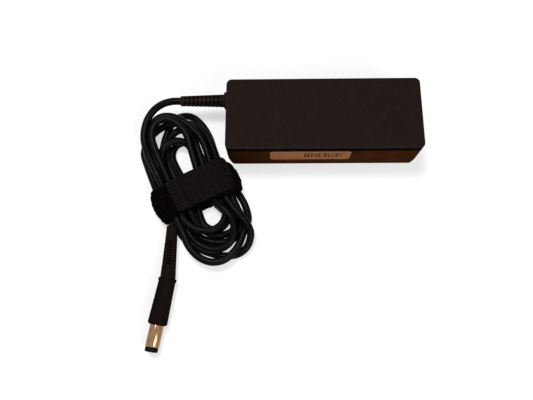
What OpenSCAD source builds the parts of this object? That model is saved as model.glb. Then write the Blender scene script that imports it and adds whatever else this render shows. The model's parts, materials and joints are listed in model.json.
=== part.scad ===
// Laptop power adapter: a two-shell case with its circuit inside, a moulded strain relief,
// an output cord wound into a hank, a hook-and-loop strap round the hank and a barrel plug.
// Millimetres. +Z up, origin at the centre of the case's base, +X towards the mains inlet,
// +Y towards the long side beside which the output cord leaves.

/* [Case] */
// Length of the case along X
case_l = 106; // [106:1:114]
// Width of the case along Y
case_w = 41; // [41:1:46]
// Height of the closed case
case_h = 28.5; // [28.5:0.5:32]
// Thickness of the case walls
wall = 2; // [1.8:0.1:2]
// Radius of the four upright corners
corner_r = 3; // [2.5:0.5:4]
// Thickness of the rim of the lid that shows above the parting groove
lid_rim = 1.8; // [1.6:0.1:2.2]
// Height of the parting groove under the lid
groove_h = 0.8; // [0.5:0.1:1]
// Depth of the parting groove
groove_d = 0.8; // [0.4:0.1:1]
// Height at which the ends start to slope inwards
end_bevel_h = 11; // [10:0.5:11]
// How far each end slopes inwards by the base
end_bevel_in = 4.3; // [3:0.1:4.5]
// Height at which the long sides start to slope inwards
side_bevel_h = 4.5; // [3:0.5:4.5]
// How far each long side slopes inwards at the base
side_bevel_in = 3; // [1:0.5:3]

/* [Labels] */
// Length of the blank label on the front side
label_l = 44; // [30:1:50]
// Height of the blank label on the front side
label_h = 12; // [8:1:14]
// Depth of the recessed blank panel under the base
panel_d = 0.3; // [0.2:0.1:0.5]

/* [Output cord] */
// Diameter of the cord
cord_d = 4.2; // [4:0.1:4.2]
// Length of the strain relief outside the case
relief_l = 27.5; // [24:0.5:30]
// Radius of the strain relief beside the case
relief_r_case = 3.65; // [3.4:0.05:4]
// Radius of the strain relief at its cord end
relief_r_cord = 2.9; // [2.7:0.05:3.2]
// Number of turns in the hank
turns = 5; // [3:1:5]
// Step from one turn of the hank to the next at its folds
turn_step = 5; // [5:0.05:5.2]
// Step from one layer of the hank to the other
layer_step = 4.65; // [4.65:0.05:4.8]
// Half width of the innermost turn
inner_half_w = 6.2; // [6:0.1:7]
// Half length of the runs between the hank's folds
run_half = 28.2; // [26:0.2:30]
// Share of its width by which the hank is drawn in at the strap
draw_in = 0.075; // [0:0.005:0.075]

/* [Strap] */
// Width of the hook-and-loop strap
strap_w = 18; // [16:0.5:20]
// Thickness of the loop band
band_t = 1; // [0.8:0.1:1]
// Length of the free flap
flap_l = 27; // [22:1:28]

/* [Plug] */
// Outer diameter of the plug's metal barrel
barrel_d = 7.4; // [7.2:0.1:7.6]
// Length of the barrel in front of the grip
barrel_l = 12.6; // [9:0.1:14]
// Length of the grip
grip_l = 25; // [22:0.5:28]
// Radius of the grip beside the barrel
grip_r = 5.2; // [5:0.1:6]
// Radius of the grip beside the boot
grip_r_rear = 4.5; // [4.4:0.05:4.7]

/* [Mains inlet] */
// Diameter of each contact pin
pin_d = 2.4; // [2:0.1:2.5]
// Distance between the two lower contact pins
pin_gap = 10; // [9.6:0.1:10]
// Depth of the socket
socket_d = 13; // [11:0.5:13]

/* [Hidden] */

$fn = 64;
eps = 0.01;
// Clearance between pieces that slip together
slip = 0.05;
half_l = case_l / 2;
half_w = case_w / 2;
cord_r = cord_d / 2;

// Heights inside the case
rim_z = case_h - lid_rim;
groove_z = rim_z - groove_h;
base_edge = 1.2;
board_z = 5;
board_t = 1.6;
board_top = board_z + board_t;

// Labels: the front one lies in a shallow recess, the lower one in the base panel
label_t = 0.1;
label_x = -7;
label_z = 17.5;
panel_l = 70;
panel_w = 26;

// Mains inlet, centred on the +X end
inlet_w = 19.6;
inlet_h = 14.2;
inlet_z = 18.3;
inlet_body = 14;
lobe_r = 3.4;
pin_low = -2.65;
pin_high = 2.65;

// Output cord's exit through the -X end
exit_y = 14;
exit_z = 15;
neck_r = 3.4;
flange_r = 5;
flange_t = 2.4;
boot_end_x = -half_l - relief_l;
retainer_r = 4.35;
retainer_t = 1.45;
// Wall left under the slots of a boot, outside the cord
boot_skin = 0.55;
relief_slot_turn = 35;
plug_slot_turn = -12;

// Circuit: the gap under a disc, the bodies' legs and the heat sinks
leg_h = 0.7;
leg_row_h = 2;
spreader_t = 0.8;
sink_t = 2;
sink_h = 16.6;
sink_y = -15.9;
screw_x = 3;
screw_z = 19.5;
screw_r = 1.2;
choke_bore_r = 4.6;
choke_ring_t = 2.8;
choke_ring_w = 6;
core_x = -31;
core_l = 24;
core_z = 8.6;
core_h = 14;
core_gap = 0.02;
bobbin_l = 17.8;

// Hank: u runs along its length and v across it; the hank lies beside the case's -X end
hank_x = -70.3;
hank_y = -32.5;
hank_turn = 25.3;
layer_low_z = band_t + 0.25 + cord_r;
layer_high_z = layer_low_z + layer_step;
// Steps in each half turn: half of each run, and the fold between them
run_steps = 2;
fold_steps = 8;
half_steps = fold_steps + 2 * run_steps;
// Step at which the hank reaches its innermost run and climbs from one layer to the other
climb_at = half_steps * turns;
wind_end = 2 * half_steps * turns;
// The cord joins and leaves the hank on its outermost run, straight for a little over its diameter
join_u = 20;
join_l = 4.5;
waist_u = -5;
waist_reach = 25;

// Strap: s runs along its length over the hank and n across its width
strap_x = -71.2;
strap_y = -38.6;
strap_turn = 27;
band_half = 23.3;
band_corner = 3.5;
band_top = layer_high_z + cord_r + 0.2 + band_t;
cloth_gap = 0.3;
stitched_from = -13;
stitched_l = 6;
stitched_t = 1.2;
hook_t = 0.4;
flap_t = 0.8;
// Fold line of the flap, at mid thickness of the cloth
hinge_s = stitched_from + stitched_l + 1.1;
hinge_z = band_top + cloth_gap + (hook_t + flap_t) / 2;

// Plug: its boot and grip lie on the table, the grip turned a little from the boot
boot_x = -83.6;
boot_y = -57.2;
plug_x = -84.6;
plug_y = -86;
plug_z = 5.3;
plug_turn = -100;
boot_turn = atan2(plug_y - boot_y, plug_x - boot_x);
boot_l = norm([plug_x - boot_x, plug_y - boot_y]);
// Straight stretch of cord before the boot
boot_lead = 4;
boot_r_cord = 3.05;
boot_r_mid = 3.55;
boot_r_grip = 4.3;
barrel_r = barrel_d / 2;
// Thickness of the barrel's wall, and how much thinner the barrel is inside the grip
barrel_wall = 0.5;
barrel_step = 0.2;
sleeve_r = 2.75;
sleeve_wall = 0.25;
centre_pin_r = 0.35;
core_start = 1.2;
core_r = 3;
core_end = 11;
core_collar = 2;
tip_x = grip_l + barrel_l;

// Route of the cord from the strain relief to the hank
lead_route = [
    [boot_end_x, exit_y, exit_z], [boot_end_x - 5, exit_y, 14.9], [-91, 12.8, 14.2], [-96.3, 9.5, 13],
    [-99.9, 4.3, 11.6], [-101.4, -2, 10.3], [-101.2, -8.5, 9.1]
];
// Route of the cord from the hank to the plug's boot: along and across the hank, and height
tail_route = [[10.5, -20.1, 3.35], [4, -21.8, 3.35], [-2, -22.2, 3.4], [-8, -21.6, 4]];

// ---------------------------------------------------------------- vectors, curves and tubes

function unit(v) = v / norm(v);

function tangent(path, i) = unit(path[min(i + 1, len(path) - 1)] - path[max(i - 1, 0)]);

// Corners of one ring of a tube, square to the path
function ring(path, i, r, sides) =
    let (along = tangent(path, i), across = unit(cross(along, [0, 0, 1])), above = cross(across, along))
    [for (k = [0 : sides - 1]) path[i] + r * (cos(360 * k / sides) * across + sin(360 * k / sides) * above)];

function curve_point(a, b, c, d, t) =
    0.5 * (2 * b + (c - a) * t + (2 * a - 5 * b + 4 * c - d) * t * t + (3 * b - a - 3 * c + d) * t * t * t);

// Smooth curve through all the points of a route
function smooth_route(pts, steps) =
    let (last = len(pts) - 1)
    concat(
        [for (i = [0 : last - 1], k = [0 : steps - 1])
            curve_point(pts[max(i - 1, 0)], pts[i], pts[i + 1], pts[min(i + 2, last)], k / steps)],
        [pts[last]]
    );

function path_length(path) = path_sum([for (i = [1 : len(path) - 1]) norm(path[i] - path[i - 1])]);

function path_sum(values) = values * [for (v = values) 1];

// One closed tube along a path, made of triangles
module tube(path, r, sides) {
    rings = len(path);
    corners = [for (i = [0 : rings - 1]) each ring(path, i, r, sides)];
    skin = [for (i = [0 : rings - 2], k = [0 : sides - 1])
        let (a = i * sides + k, b = i * sides + (k + 1) % sides)
        each [[a, a + sides, b], [b, a + sides, b + sides]]];
    first_cap = [for (k = [1 : sides - 2]) [0, k, k + 1]];
    last_ring = (rings - 1) * sides;
    last_cap = [for (k = [1 : sides - 2]) [last_ring, last_ring + k + 1, last_ring + k]];
    polyhedron(points = corners, faces = concat(skin, first_cap, last_cap));
}

// ---------------------------------------------------------------- hank

// Half width of the turn at a step: in at a steady rate, and out again
function turn_half_w(i) = inner_half_w + turn_step * abs(i - climb_at) / (2 * half_steps);

// Height of the cord: the upper layer winds in, the lower one winds out, and one run joins them
function turn_z(i) = layer_high_z - layer_step * min(max((i - climb_at + 1) / 2, 0), 1);

// Share of the width that is left where the strap draws the hank in
function waist(u) = 1 - draw_in * max(1 - pow((u - waist_u) / waist_reach, 2), 0);

// Place on the table of a point given along and across the hank
function on_hank(u, v, z) = [
    hank_x - u * sin(hank_turn) + v * cos(hank_turn),
    hank_y + u * cos(hank_turn) + v * sin(hank_turn),
    z
];

// Each half turn goes down one run, round a fold and up to the middle of the next run
function hank_point(i) =
    let (
        step = i % half_steps,
        side = floor(i / half_steps) % 2 == 0 ? 1 : -1,
        fold = 180 * min(max(step - run_steps, 0), fold_steps) / fold_steps,
        run = run_half * min(step / run_steps, (half_steps - step) / run_steps, 1),
        u = -side * (run + turn_half_w(i) * sin(fold))
    )
    on_hank(u, -side * turn_half_w(i) * cos(fold) * waist(u), turn_z(i));

// Straight stretch on the outermost run, from its start along the hank
function join(from_u, to_u, z) = [for (u = [from_u, to_u]) on_hank(u, -turn_half_w(0), z)];

hank_path = concat(
    join(join_u, join_u - join_l, layer_high_z),
    [for (i = [0 : wind_end - run_steps]) hank_point(i)],
    join(join_u + join_l, join_u, layer_low_z)
);

// Least distance between two turns' centre lines, from points at least half a turn apart
function least_spacing(path, apart) =
    min([for (i = [0 : len(path) - 1 - apart], j = [i + apart : len(path) - 1]) norm(path[i] - path[j])]);

lead_path = smooth_route(concat(lead_route, join(join_u + join_l, join_u, layer_high_z)), 2);
tail_path = smooth_route(concat(
    join(join_u, join_u - join_l, layer_low_z),
    [for (p = tail_route) on_hank(p[0], p[1], p[2])],
    [for (l = [boot_lead, boot_lead / 2, 0])
        [boot_x - l * cos(boot_turn), boot_y - l * sin(boot_turn), plug_z]]
), 2);

echo(fold_line = [strap_x + hinge_s * cos(strap_turn), strap_y + hinge_s * sin(strap_turn), hinge_z]);
echo(hank_least_gap = least_spacing(hank_path, half_steps) - cord_d);
echo(hank_length = path_length(hank_path));
echo(lead_length = path_length(lead_path), tail_length = path_length(tail_path));

// ---------------------------------------------------------------- shared shapes

module rounded_rect(lx, ly, r) {
    square([lx - 2 * r, ly], center = true);
    square([lx, ly - 2 * r], center = true);
    for (x = [-1, 1], y = [-1, 1]) {
        translate([x * (lx / 2 - r), y * (ly / 2 - r)]) circle(r);
    }
}

// Box from its lowest corner and its size
module box(low, size) {
    translate(low) cube(size);
}

// Upright round body standing at a point
module upright(x, y, z, r, h) {
    translate([x, y, z]) cylinder(r = r, h = h);
}

// Round body along X from a point
module lying(x, y, z, r, l) {
    translate([x, y, z]) rotate([0, 90, 0]) cylinder(r = r, h = l);
}

// Body of revolution about X, from [distance along X, radius] points
module turned(profile) {
    rotate([0, 90, 0]) rotate([0, 0, 90]) rotate_extrude() polygon([for (p = profile) [p[1], p[0]]]);
}

// Outer form of the case, or its hollow when drawn in by a wall
module case_form(inset, low, high) {
    l = half_l - inset;
    w = half_w - inset;
    foot = max(base_edge - inset, 0);
    ends = [
        [-l + end_bevel_in + foot, low], [-l + end_bevel_in, low + foot], [-l, end_bevel_h], [-l, high],
        [l, high], [l, end_bevel_h], [l - end_bevel_in, low + foot], [l - end_bevel_in - foot, low]
    ];
    sides = [
        [-w + side_bevel_in, low], [-w, side_bevel_h], [-w, high],
        [w, high], [w, side_bevel_h], [w - side_bevel_in, low]
    ];
    intersection() {
        translate([0, 0, low]) linear_extrude(high - low) rounded_rect(2 * l, 2 * w, corner_r - inset);
        translate([0, half_w, 0]) rotate([90, 0, 0]) linear_extrude(case_w) polygon(ends);
        translate([-half_l, 0, 0]) rotate([90, 0, 90]) linear_extrude(case_l) polygon(sides);
    }
}

// ---------------------------------------------------------------- case

module top_cover() {
    plate_z = rim_z;
    edge = 0.7;
    lip_h = 3;
    lip_t = 1.2;
    lip_l = case_l - 2 * wall - 2 * slip;
    lip_w = case_w - 2 * wall - 2 * slip;
    color("#2a2523") {
        hull() {
            for (x = [-1, 1], y = [-1, 1]) {
                translate([x * (half_l - corner_r), y * (half_w - corner_r), plate_z])
                    rotate_extrude($fn = 32) polygon(concat(
                        [[0, 0], [corner_r, 0]],
                        [for (a = [0 : 30 : 90])
                            [corner_r - edge + edge * cos(a), lid_rim - edge + edge * sin(a)]],
                        [[0, lid_rim]]
                    ));
            }
        }
        difference() {
            translate([0, 0, plate_z - lip_h]) linear_extrude(lip_h)
                rounded_rect(lip_l, lip_w, corner_r - wall);
            translate([0, 0, plate_z - lip_h - eps]) linear_extrude(lip_h + 2 * eps)
                square([lip_l - 2 * lip_t, lip_w - 2 * lip_t], center = true);
            box([half_l - wall - 3, -inlet_w / 2 - 1, plate_z - lip_h - eps], [4, inlet_w + 2, lip_h]);
        }
    }
}

module bottom_case() {
    rib_w = 3;
    rib_in = 1.2;
    color("#17100d") {
        difference() {
            case_form(0, 0, rim_z);
            case_form(wall, wall, rim_z + 1);
            difference() {
                translate([0, 0, groove_z]) linear_extrude(groove_h + 1)
                    square([case_l + 2, case_w + 2], center = true);
                translate([0, 0, groove_z - 1]) linear_extrude(groove_h + 3)
                    rounded_rect(case_l - 2 * groove_d, case_w - 2 * groove_d, corner_r - groove_d);
            }
            box([half_l - 5, -inlet_w / 2 - slip, inlet_z - inlet_h / 2 - slip],
                [6, inlet_w + 2 * slip, inlet_h + 2 * slip]);
            lying(-half_l - 1, exit_y, exit_z, neck_r + slip, wall + 2);
            translate([0, 0, -1]) linear_extrude(1 + panel_d) square([panel_l, panel_w], center = true);
            translate([label_x, -half_w + label_t, label_z]) rotate([90, 0, 0]) linear_extrude(1)
                rounded_rect(label_l + 0.2, label_h + 0.2, 1.1);
        }
        for (x = [-34, 0, 34], y = [-1, 1]) {
            box([x - rib_w / 2, y * (half_w - wall - rib_in / 2 + eps) - rib_in / 2, side_bevel_h - 1],
                [rib_w, rib_in, board_z - side_bevel_h + 1]);
        }
    }
}

module side_label() {
    color("#96714d")
    translate([label_x, -half_w + label_t, label_z]) rotate([90, 0, 0]) linear_extrude(label_t)
        rounded_rect(label_l, label_h, 1);
}

module base_label() {
    color("#3a3634")
    translate([0, 0, panel_d - label_t]) linear_extrude(label_t) rounded_rect(panel_l - 1, panel_w - 1, 1);
}

// ---------------------------------------------------------------- mains inlet

module socket_outline() {
    for (y = [-1, 1]) {
        translate([y * pin_gap / 2, pin_low]) circle(lobe_r);
    }
    translate([0, pin_high]) circle(lobe_r);
    translate([-pin_gap / 2, pin_low - lobe_r]) square([pin_gap, lobe_r + 3]);
}

module inlet_housing() {
    color("#201d1c")
    difference() {
        union() {
            box([half_l - inlet_body, -inlet_w / 2, inlet_z - inlet_h / 2], [inlet_body, inlet_w, inlet_h]);
            for (y = [-1, 1]) {
                box([half_l - wall - 1.4, y * (inlet_w / 2 + 0.9) - 1, inlet_z - 4], [1.3, 2, 8]);
            }
        }
        translate([half_l - socket_d, 0, inlet_z]) rotate([90, 0, 90]) linear_extrude(socket_d + 1)
            socket_outline();
        for (p = [[-pin_gap / 2, pin_low], [pin_gap / 2, pin_low], [0, pin_high]]) {
            lying(half_l - inlet_body - 1, p[0], inlet_z + p[1], pin_d / 2 + slip, inlet_body);
        }
    }
}

module inlet_pins() {
    pin_l = 10.5;
    tail = 3;
    leg = 1;
    color("silver")
    for (p = [[-pin_gap / 2, pin_low], [pin_gap / 2, pin_low], [0, pin_high]]) {
        lying(half_l - inlet_body - tail, p[0], inlet_z + p[1], pin_d / 2,
            pin_l + tail + inlet_body - socket_d);
        box([half_l - inlet_body - tail, p[0] - leg / 2, board_top], [leg, leg, inlet_z + p[1] - board_top]);
    }
}

// ---------------------------------------------------------------- circuit

module circuit_board() {
    board_l = case_l - 2 * wall - 8;
    board_w = case_w - 2 * wall - 0.8;
    hole_r = 1.2;
    isolation_slot = [1.2, 12, board_t + 2];
    color("#2f6b3a")
    difference() {
        translate([0, 0, board_z]) linear_extrude(board_t) square([board_l, board_w], center = true);
        box([-31.6, -isolation_slot[1] / 2, board_z - 1], isolation_slot);
        for (x = [-44, 38], y = [-15.5, 15.5]) {
            upright(x, y, board_z - 1, hole_r, board_t + 2);
        }
    }
}

module lower_heat_spreader() {
    color("#b8b8b4") box([-44, -14.5, 2.8], [88, 29, spreader_t]);
}

module upper_heat_spreader() {
    color("#b8b8b4") box([-46, -16.5, rim_z - 1.8], [82, 33, spreader_t]);
}

module insulating_sheet() {
    color("#d8d4a8") box([-45, -15.5, wall + 0.2], [90, 31, 0.3]);
}

module fuse() {
    fuse_r = 4.2;
    fuse_h = 7.6;
    color("#5a2d1e") upright(31.5, -13.2, board_top, fuse_r, fuse_h);
}

module varistor() {
    disc_r = 4.4;
    disc_t = 3.6;
    color("#2f5fa8") lying(30, 13.1, board_top + disc_r + leg_h, disc_r, disc_t);
}

module inrush_thermistor() {
    disc_r = 4;
    disc_t = 3.2;
    color("#3b5a2c") lying(24.6, 13.4, board_top + disc_r + leg_h, disc_r, disc_t);
}

module filter_capacitor() {
    color("#c9a227") box([28, -8, board_top], [7.6, 16, 13]);
}

// Upright frame of the choke: its axis lies along X
module on_choke() {
    translate([18.5, -8.5, 15]) rotate([0, 90, 0]) children();
}

module choke_core() {
    color("#3a3a3c")
    on_choke() rotate_extrude() translate([choke_bore_r, 0]) square([choke_ring_t, choke_ring_w]);
}

module choke_windings() {
    wire_t = 0.8;
    spread = 140;
    color("#b5652c")
    on_choke()
    for (half = [0, 1]) {
        rotate([0, 0, 20 + 180 * half])
        difference() {
            rotate_extrude(angle = spread) translate([choke_bore_r - wire_t, -wire_t])
                square([choke_ring_t + 2 * wire_t, choke_ring_w + 2 * wire_t]);
            rotate([0, 0, -5]) rotate_extrude(angle = spread + 10) translate([choke_bore_r - slip, -slip])
                square([choke_ring_t + 2 * slip, choke_ring_w + 2 * slip]);
        }
    }
}

// Row of square legs under a part, from the first leg's corner
module legs(first, step, count, leg) {
    for (k = [0 : count - 1]) {
        box(first + k * step, [leg, leg, leg_row_h + 0.1]);
    }
}

module bridge_rectifier() {
    color("#1c1c1c") {
        box([0, -6.5, board_top + leg_row_h], [15, 3.6, 11]);
        legs([1.2, -5.2, board_top], [4, 0, 0], 4, 0.8);
    }
}

module bulk_capacitor() {
    can_r = 7.8;
    can_l = 26;
    groove = 0.5;
    can_x = -3;
    can_y = 9.6;
    can_z = board_top + can_r + 0.1;
    color("#1f3354")
    difference() {
        lying(can_x, can_y, can_z, can_r, can_l);
        difference() {
            lying(can_x + can_l - 2.4, can_y, can_z, can_r + 1, 0.8);
            lying(can_x, can_y, can_z, can_r - groove, can_l);
        }
    }
}

// Hole or shank across the primary heat sink, along -Y from a start
module across_sink(start_y, r, l) {
    translate([screw_x, start_y, screw_z]) rotate([90, 0, 0]) cylinder(r = r, h = l);
}

module primary_heatsink() {
    tab_l = 1.5;
    color("#c4c6c8")
    difference() {
        union() {
            box([-8, sink_y - sink_t, board_top], [22, sink_t, sink_h]);
            for (x = [-7, 12]) {
                box([x, sink_y - 1.4, board_top + sink_h - 0.1], [tab_l, 1.4, 1.2]);
            }
        }
        across_sink(sink_y + 1, screw_r + slip, sink_t + 2);
    }
}

module power_transistor() {
    tab_t = 1.3;
    body_l = 10;
    body_z = board_top + leg_row_h;
    body_x = screw_x - body_l / 2;
    back_y = sink_y + 0.1;
    color("#222222")
    difference() {
        union() {
            box([body_x, back_y, body_z], [body_l, 4.4, 8]);
            box([body_x, back_y, body_z + 8], [body_l, tab_t, 6.4]);
            legs([body_x + 2.2, back_y + 1.4, board_top], [2.5, 0, 0], 3, 0.7);
        }
        across_sink(back_y + tab_t + 1, screw_r + 0.4, tab_t + 2);
    }
}

module transistor_screw() {
    head_r = 2.4;
    head_t = 2;
    tab_face_y = sink_y + 1.4;
    color("#9a9a98")
    difference() {
        union() {
            across_sink(tab_face_y + head_t - 0.5, screw_r, head_t + 2.8);
            across_sink(tab_face_y + head_t + 0.1, head_r, head_t);
        }
        box([screw_x - 0.4, tab_face_y + head_t - 0.4, screw_z - 3], [0.8, 1, 6]);
    }
}

// Half of the ferrite core: a yoke with three legs, pointing along +Y
module core_half() {
    side_leg = 3.5;
    middle_leg = 8;
    yoke_t = 4;
    leg_l = 9;
    box([core_x, leg_l, core_z], [core_l, yoke_t, core_h]);
    for (x = [core_x, core_x + core_l - side_leg]) {
        box([x, core_gap, core_z], [side_leg, leg_l + 1, core_h]);
    }
    box([core_x + (core_l - middle_leg) / 2, core_gap, core_z], [middle_leg, leg_l + 1, core_h]);
}

module transformer_core_rear() {
    color("#4a4a4e") core_half();
}

module transformer_core_front() {
    color("#4a4a4e") mirror([0, 1, 0]) core_half();
}

// Box centred on the transformer's middle leg
module round_the_leg(lx, ly, lz) {
    translate([core_x + core_l / 2, 0, core_z + core_h / 2]) cube([lx, ly, lz], center = true);
}

module transformer_bobbin() {
    color("#20302a")
    difference() {
        union() {
            round_the_leg(10.4, bobbin_l, 16.4);
            for (y = [-1, 1]) {
                translate([0, y * (bobbin_l - 1) / 2, 0]) round_the_leg(16.6, 1, 16.9);
            }
        }
        round_the_leg(8.2, bobbin_l + 2, 14.2);
    }
}

module transformer_winding() {
    color("#e0c040")
    difference() {
        round_the_leg(16.2, bobbin_l - 2.2, 17.3);
        round_the_leg(10.6, bobbin_l, 16.6);
    }
}

module safety_capacitor() {
    disc_r = 4;
    disc_t = 3.4;
    color("#3a70b0") translate([-19, 17.6, board_top + disc_r + leg_h]) rotate([90, 0, 0])
        cylinder(r = disc_r, h = disc_t);
}

module optocoupler() {
    color("#262626") box([-22, -17.8, board_top], [6.5, 4.6, 3.5]);
}

module control_chip() {
    color("#262626") box([18, -17.6, board_top], [5, 4, 1.75]);
}

module output_rectifier() {
    color("#222222") {
        box([-39.5, -6, board_top + leg_row_h], [4.4, 10, 15]);
        legs([-38, -3.9, board_top], [0, 2.5, 0], 3, 0.7);
    }
}

module secondary_heatsink() {
    color("#c4c6c8") box([-35.1, -13, board_top], [sink_t, 24, sink_h]);
}

module output_capacitors() {
    can_r = 3.9;
    can_h = 16;
    small_r = 1.4;
    small_h = 5;
    color("#2a2350") {
        for (y = [-11.5, -2.5]) {
            upright(-44, y, board_top, can_r, can_h);
        }
        upright(-38.5, -13.8, board_top, small_r, small_h);
    }
}

module output_choke() {
    rod_r = 3.2;
    rod_h = 10;
    color("#5a4a3a") upright(-36.3, 14.3, board_top, rod_r, rod_h);
}

module output_conductors() {
    wire_r = 0.6;
    first_x = -44.5;
    from_x = -half_l + wall + 1.6;
    colors = ["white", "black", "#3060c0"];
    for (k = [0 : 2]) {
        z = exit_z + 1.3 * (k - 1);
        x = first_x + 1.7 * k;
        color(colors[k]) {
            lying(from_x, exit_y, z, wire_r, x - from_x);
            translate([x, exit_y, z]) sphere(wire_r);
            upright(x, exit_y, board_top, wire_r, z - board_top);
        }
    }
}

// ---------------------------------------------------------------- strain reliefs

// Staggered rows of slots down to a round core, along +X; first, pitch, width and span of the slots
module boot_slots(first, pitch, count, slot_w, slot_span) {
    for (k = [0 : 2 * count - 1], side = [0 : 3]) {
        rotate([90 * side + 45 * (k % 2), 0, 0])
            box([first + k * pitch / 2, -slot_span / 2, cord_r + boot_skin], [slot_w, slot_span, flange_r]);
    }
}

module strain_relief() {
    shoulder_x = relief_l - flange_t;
    inside_x = relief_l + wall + slip;
    color("#1d1a19")
    translate([boot_end_x, exit_y, exit_z])
    difference() {
        turned([
            [0, 0], [0, relief_r_cord - 0.3], [0.3, relief_r_cord], [shoulder_x, relief_r_case],
            [shoulder_x, flange_r - 0.6], [shoulder_x + 0.6, flange_r], [relief_l, flange_r],
            [relief_l, neck_r], [inside_x, neck_r], [inside_x, retainer_r],
            [inside_x + retainer_t, retainer_r], [inside_x + retainer_t, 0]
        ]);
        rotate([relief_slot_turn, 0, 0]) boot_slots(2.2, 2.2, 9, 1, 1.9);
        lying(-1, 0, 0, cord_r + slip, relief_l + 10);
    }
}

module cord_in_relief() {
    color("#1a1817") lying(boot_end_x, exit_y, exit_z, cord_r, relief_l + wall + retainer_t);
}

// ---------------------------------------------------------------- cord

module dc_cord_lead() {
    color("#1a1817") tube(lead_path, cord_r, 8);
}

module dc_cord_hank() {
    color("#1a1817") tube(hank_path, cord_r, 6);
}

module dc_cord_tail() {
    color("#1a1817") tube(tail_path, cord_r, 8);
}

// ---------------------------------------------------------------- strap

// Frame of the strap: X along the band over the hank, Y across its width
module on_strap() {
    translate([strap_x, strap_y, 0]) rotate([0, 0, strap_turn]) children();
}

module strap_loop_band() {
    color("#151312")
    on_strap() translate([0, strap_w / 2, band_top / 2]) rotate([90, 0, 0]) linear_extrude(strap_w)
    difference() {
        rounded_rect(2 * band_half, band_top, band_corner);
        rounded_rect(2 * (band_half - band_t), band_top - 2 * band_t, band_corner - band_t);
    }
}

module strap_stitched_end() {
    color("#2b2725")
    on_strap() box([stitched_from, -strap_w / 2, band_top], [stitched_l, strap_w, stitched_t]);
}

module strap_stitching() {
    margin = 1;
    row_step = 1.7;
    pitch = 2.1;
    stitch = [0.6, 1.1, 0.2];
    color("#4a4644")
    on_strap()
    for (row = [0 : 2], k = [0 : floor((strap_w - 2 * margin) / pitch)]) {
        translate([margin + row_step * row, margin + pitch * k, stitched_t])
            box([stitched_from, -strap_w / 2, band_top], stitch);
    }
}

module flap_outline(l, w, r) {
    translate([0, -w / 2]) square([l - r, w]);
    translate([0, -w / 2 + r]) square([l, w - 2 * r]);
    for (y = [-1, 1]) {
        translate([l - r, y * (w / 2 - r)]) circle(r);
    }
}

module strap_flap() {
    color("#2b2725")
    on_strap() translate([hinge_s, 0, band_top + cloth_gap + hook_t])
        linear_extrude(flap_t) flap_outline(flap_l, strap_w, 3);
}

module strap_hook_patch() {
    color("#1b1918")
    on_strap() translate([hinge_s + 3, 0, band_top + cloth_gap])
        linear_extrude(hook_t) flap_outline(flap_l - 5, strap_w - 2, 3);
}

// ---------------------------------------------------------------- plug

// Frame of the plug: X along its axis from the back of the grip to the tip
module on_plug() {
    translate([plug_x, plug_y, plug_z]) rotate([0, 0, plug_turn]) children();
}

// Frame of the plug's boot: X along the boot towards the grip
module on_boot() {
    translate([boot_x, boot_y, plug_z]) rotate([0, 0, boot_turn]) children();
}

// Everything that lies past the back face of the grip
module past_grip_face() {
    on_plug() box([0, -12, -12], [40, 24, 24]);
}

module plug_boot() {
    color("#1d1a19")
    difference() {
        on_boot()
        difference() {
            turned([
                [0, 0], [0, boot_r_cord - 0.3], [0.3, boot_r_cord], [boot_l * 0.75, boot_r_mid],
                [boot_l + 1.5, boot_r_grip], [boot_l + 1.5, 0]
            ]);
            rotate([plug_slot_turn, 0, 0]) boot_slots(9.1, 1.7, 8, 0.75, 2.1);
            lying(-1, 0, 0, cord_r + slip, boot_l + 4);
        }
        past_grip_face();
    }
}

module cord_in_plug() {
    color("#1a1817")
    difference() {
        on_boot() lying(0, 0, 0, cord_r, boot_l + 1.5);
        past_grip_face();
    }
}

module plug_grip() {
    color("#211e1d")
    on_plug()
    difference() {
        turned([
            [0, 0], [0, grip_r_rear], [0.4, grip_r_rear + 0.4], [1.6, grip_r_rear + 0.4],
            [2, grip_r_rear + 0.05], [grip_l * 0.5, (grip_r_rear + grip_r) / 2],
            [grip_l - 0.8, grip_r], [grip_l, grip_r - 0.8], [grip_l, 0]
        ]);
        lying(core_start, 0, 0, core_r + slip, grip_l);
        lying(core_end - 1, 0, 0, barrel_r + slip, grip_l);
    }
}

module plug_core() {
    color("#e6e2d6")
    on_plug() {
        lying(core_start, 0, 0, core_r, core_end - core_start + eps);
        lying(core_end, 0, 0, barrel_r - barrel_wall - slip, core_collar);
    }
}

module plug_barrel() {
    color("silver")
    on_plug()
    difference() {
        turned([
            [core_end, 0], [core_end, barrel_r - barrel_step], [grip_l, barrel_r - barrel_step],
            [grip_l, barrel_r], [tip_x - 0.5, barrel_r], [tip_x, barrel_r - 0.3], [tip_x, 0]
        ]);
        lying(core_end - 1, 0, 0, barrel_r - barrel_wall, 2 * grip_l);
    }
}

module plug_insulator() {
    from_x = core_end + core_collar;
    inside_r = barrel_r - barrel_wall - slip;
    color("#141414")
    on_plug()
    difference() {
        turned([
            [from_x, 0], [from_x, inside_r], [tip_x + slip, inside_r], [tip_x + slip, barrel_r - 0.25],
            [tip_x + 1, barrel_r - 0.25], [tip_x + 1.3, barrel_r - 0.6], [tip_x + 1.3, 0]
        ]);
        lying(core_end, 0, 0, sleeve_r + slip, 2 * grip_l);
    }
}

module plug_inner_sleeve() {
    from_x = core_end + core_collar;
    color("#c9c6bd")
    on_plug()
    difference() {
        lying(from_x, 0, 0, sleeve_r, tip_x + 1 - from_x);
        lying(core_end, 0, 0, sleeve_r - sleeve_wall, 2 * grip_l);
    }
}

module plug_centre_pin() {
    from_x = core_end + core_collar;
    color("#d8c070")
    on_plug() {
        lying(from_x, 0, 0, sleeve_r - sleeve_wall - slip, 2);
        lying(from_x, 0, 0, centre_pin_r, tip_x - 1.5 - from_x);
    }
}

// ---------------------------------------------------------------- drawing

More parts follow.
